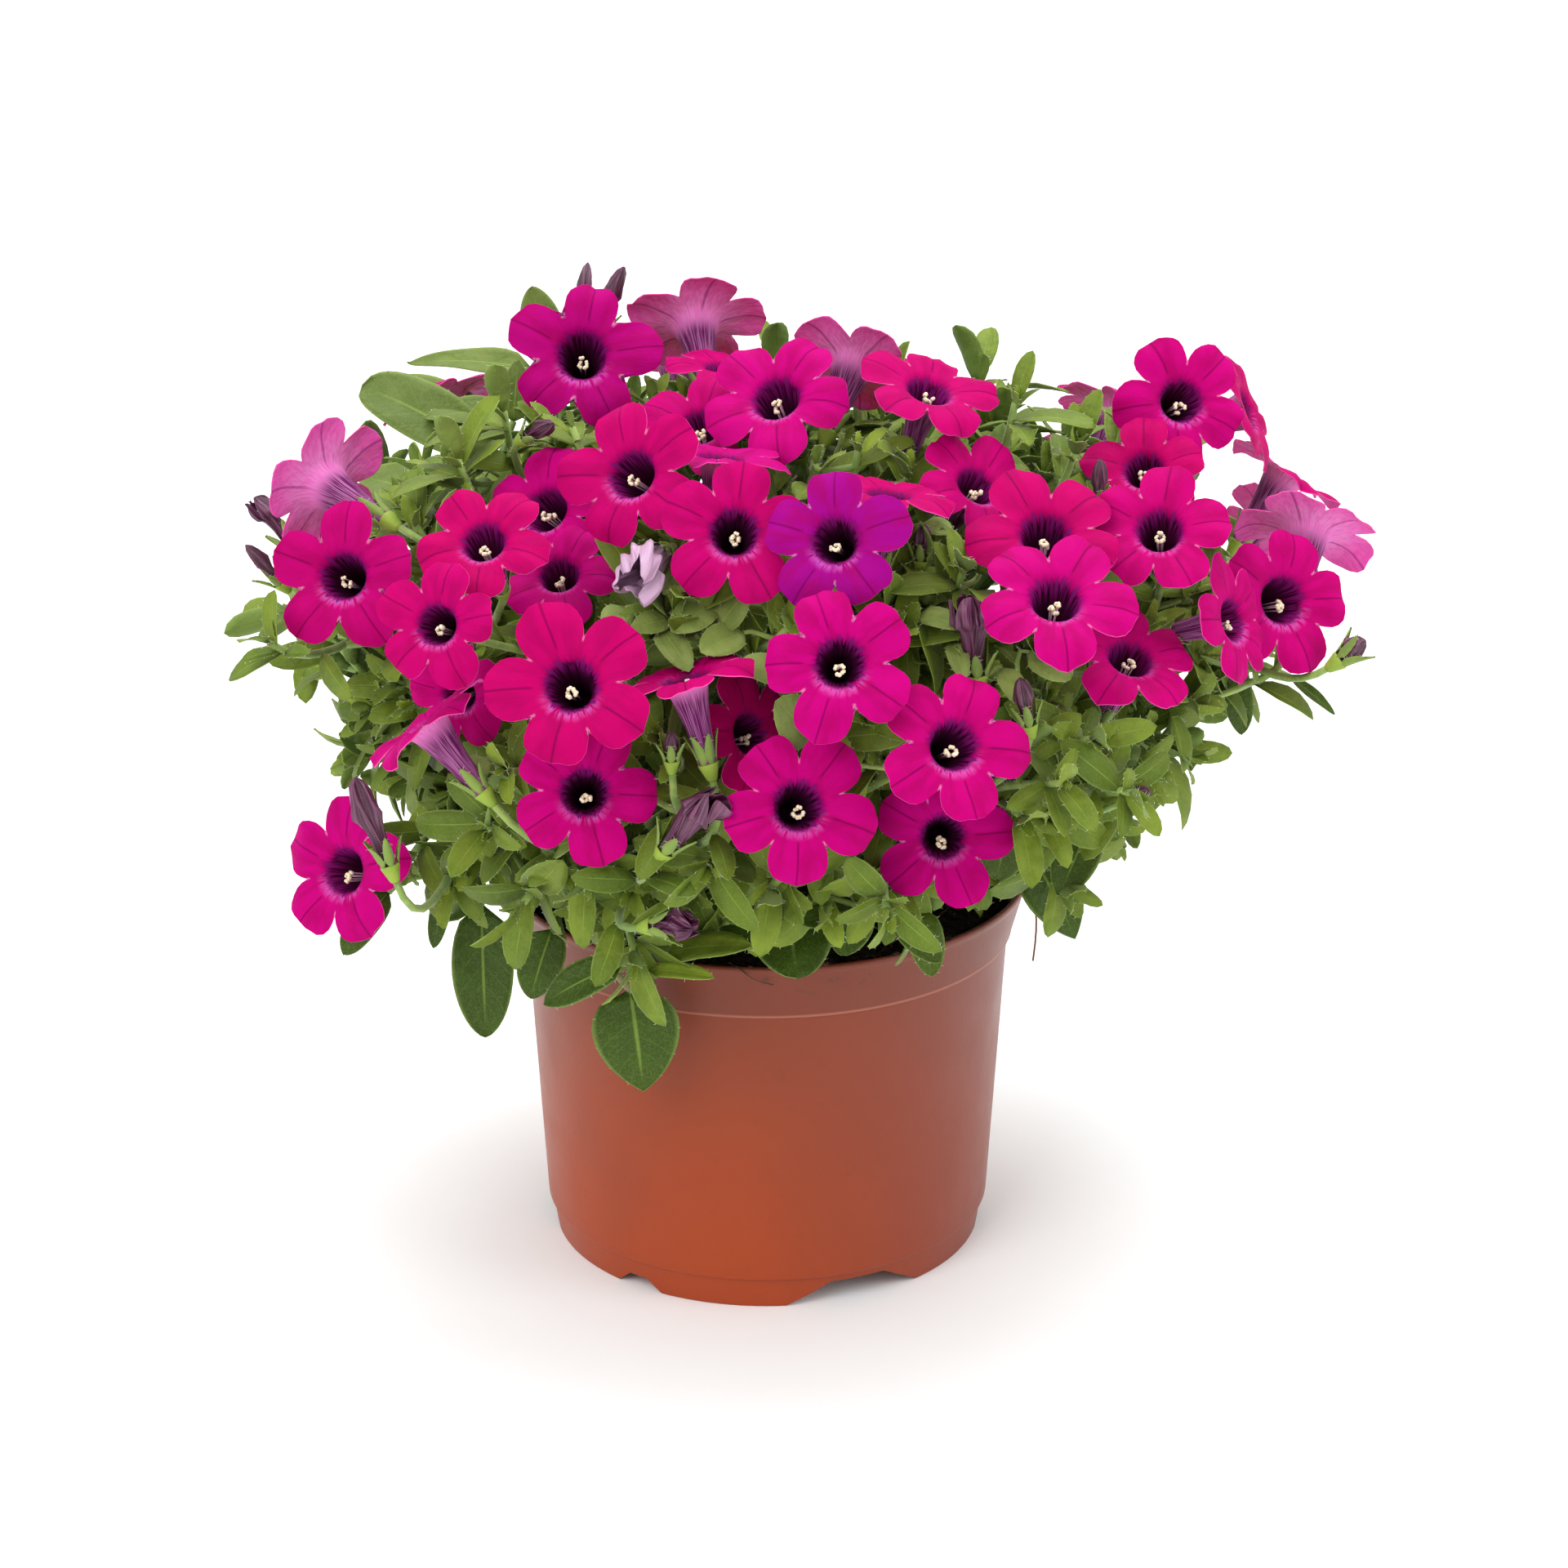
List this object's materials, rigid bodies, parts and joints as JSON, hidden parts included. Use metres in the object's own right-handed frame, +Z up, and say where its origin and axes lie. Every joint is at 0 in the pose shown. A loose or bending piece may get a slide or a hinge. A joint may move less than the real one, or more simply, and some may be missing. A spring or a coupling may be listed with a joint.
{
  "type": "potted petunia",
  "caption": "A bushy flowering bedding plant with magenta trumpet blooms and narrow green leaves, growing from soil in a tapered brown plastic pot with a collar and a notched foot.",
  "frame": {"origin": "on the pot's axis, on the surface that the pot stands on; it is also the middle of the bottom of the bounding box", "axes": "+Z up, -Y towards the picture's viewer, +X to the viewer's right"},
  "size_m": [0.2859, 0.2439, 0.2383],
  "materials": {
    "pot": "satin injection-moulded plastic, terracotta brown outside and black inside",
    "soil": "moist dark potting mix, crumbly, with fibres",
    "foliage": "matt green stems and leaves with pale midribs and short hairs",
    "petal": "velvety magenta petals with a dark violet throat and fine veins"
  },
  "bodies": {
    "root": {"pot": "pot", "soil": "soil", "stem_low_left": "foliage", "stem_left": "foliage", "stem_high_left": "foliage", "stem_rear_left": "foliage", "stem_rear_right": "foliage", "stem_high_right": "foliage", "stem_right": "foliage", "stem_low_right": "foliage", "stem_front_right": "foliage", "stem_front_left": "foliage", "stem_mid_left": "foliage", "stem_mid_right": "foliage", "stem_top_front": "foliage", "stem_top_rear": "foliage", "bloom_01": "petal", "bloom_02": "petal", "bloom_03": "petal", "bloom_04": "petal", "bloom_05": "petal", "bloom_06": "petal", "bloom_07": "petal", "bloom_08": "petal", "bloom_09": "petal", "bloom_10": "petal", "bloom_11": "petal", "bloom_12": "petal", "bloom_13": "petal", "bloom_14": "petal", "bloom_15": "petal", "bloom_16": "petal", "bloom_17": "petal", "bloom_18": "petal", "bloom_19": "petal", "bloom_20": "petal", "bloom_21": "petal", "bloom_22": "petal", "bloom_23": "petal", "bloom_24": "petal", "bloom_25": "petal", "bloom_26": "petal", "bloom_27": "petal", "bloom_28": "petal", "bloom_29": "petal", "bloom_30": "petal", "bloom_31": "petal", "bloom_32": "petal", "bloom_33": "petal", "bloom_34": "petal", "bloom_35": "petal", "bloom_36": "petal", "bloom_37": "petal", "bloom_38": "petal", "bloom_39": "petal", "bloom_40": "petal"}
  },
  "joints": []
}
